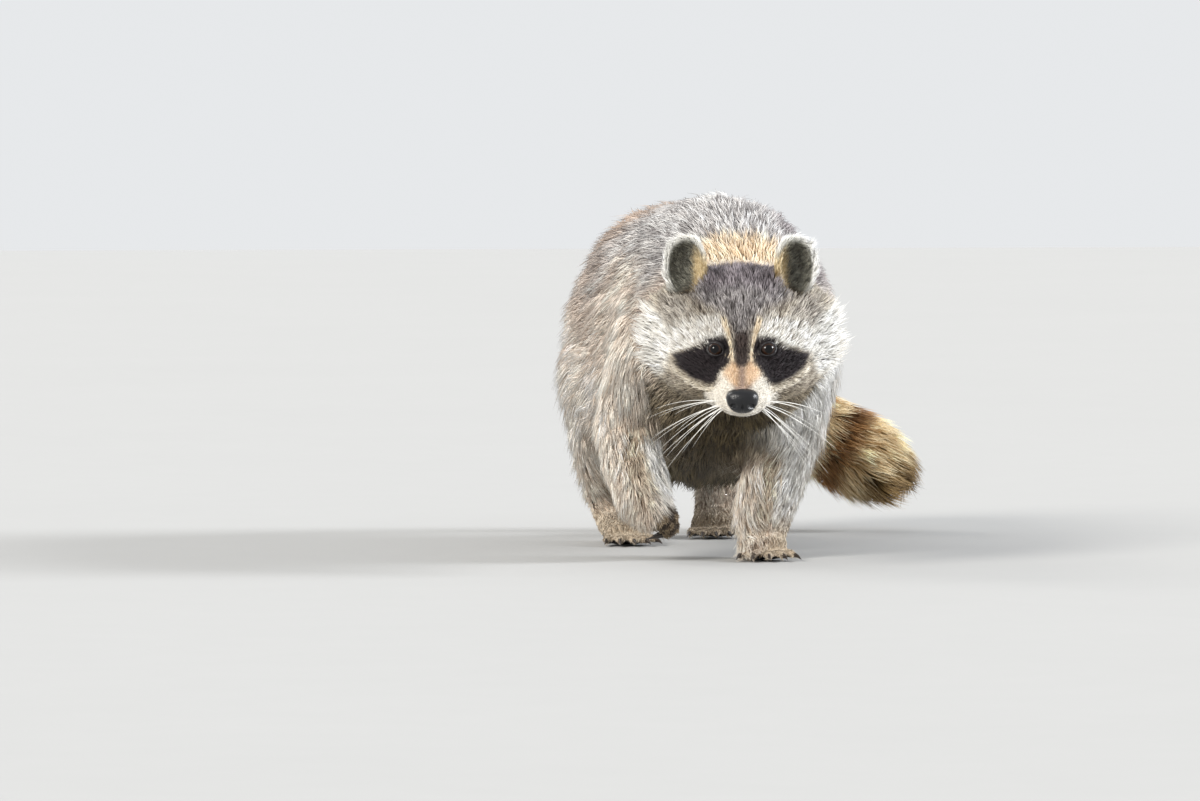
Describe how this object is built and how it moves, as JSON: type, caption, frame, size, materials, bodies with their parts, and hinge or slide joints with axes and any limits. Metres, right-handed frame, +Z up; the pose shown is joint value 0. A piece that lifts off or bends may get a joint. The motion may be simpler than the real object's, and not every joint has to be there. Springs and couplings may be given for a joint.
{
  "type": "raccoon",
  "caption": "Life-size still raccoon in thick coat, walking with one forepaw lifted, head low and ringed tail to its left.",
  "frame": {"origin": "on the floor, under the middle of the whole figure's outline", "axes": "+Z up, the animal faces -Y and its left side is +X"},
  "size_m": [0.3462, 0.6754, 0.3166],
  "materials": {
    "body_fur": "thick grizzled grey-brown fur",
    "pale_fur": "short whitish fur",
    "leg_fur": "short tan grizzled fur",
    "tail_fur": "bushy gold-tan fur with dark rings",
    "skin": "dark bare skin",
    "nose": "moist black pebbled leather",
    "eye": "dark wet eye",
    "claw": "dark horn, half gloss",
    "whisker": "white whisker hair"
  },
  "bodies": {
    "root": {"barrel": "body_fur", "chest": "body_fur", "claw_fore_left_1": "claw", "claw_fore_left_2": "claw", "claw_fore_left_3": "claw", "claw_fore_left_4": "claw", "claw_fore_left_5": "claw", "claw_fore_right_1": "claw", "claw_fore_right_2": "claw", "claw_fore_right_3": "claw", "claw_fore_right_4": "claw", "claw_fore_right_5": "claw", "claw_hind_left_1": "claw", "claw_hind_left_2": "claw", "claw_hind_left_3": "claw", "claw_hind_left_4": "claw", "claw_hind_left_5": "claw", "claw_hind_right_1": "claw", "claw_hind_right_2": "claw", "claw_hind_right_3": "claw", "claw_hind_right_4": "claw", "claw_hind_right_5": "claw", "ear_left": "pale_fur", "ear_right": "pale_fur", "eye_left": "eye", "eye_right": "eye", "fore_left_forearm": "leg_fur", "fore_left_paw": "leg_fur", "fore_left_upper_arm": "body_fur", "fore_right_forearm": "leg_fur", "fore_right_paw": "leg_fur", "fore_right_upper_arm": "body_fur", "head": "body_fur", "hind_left_foot": "leg_fur", "hind_left_shank": "leg_fur", "hind_left_thigh": "body_fur", "hind_right_foot": "leg_fur", "hind_right_shank": "leg_fur", "hind_right_thigh": "body_fur", "hindquarters": "body_fur", "lower_jaw": "pale_fur", "muzzle": "pale_fur", "neck": "body_fur", "nose": "nose", "tail_1": "tail_fur", "tail_2": "tail_fur", "tail_3": "tail_fur", "tail_4": "tail_fur"}
  },
  "joints": []
}
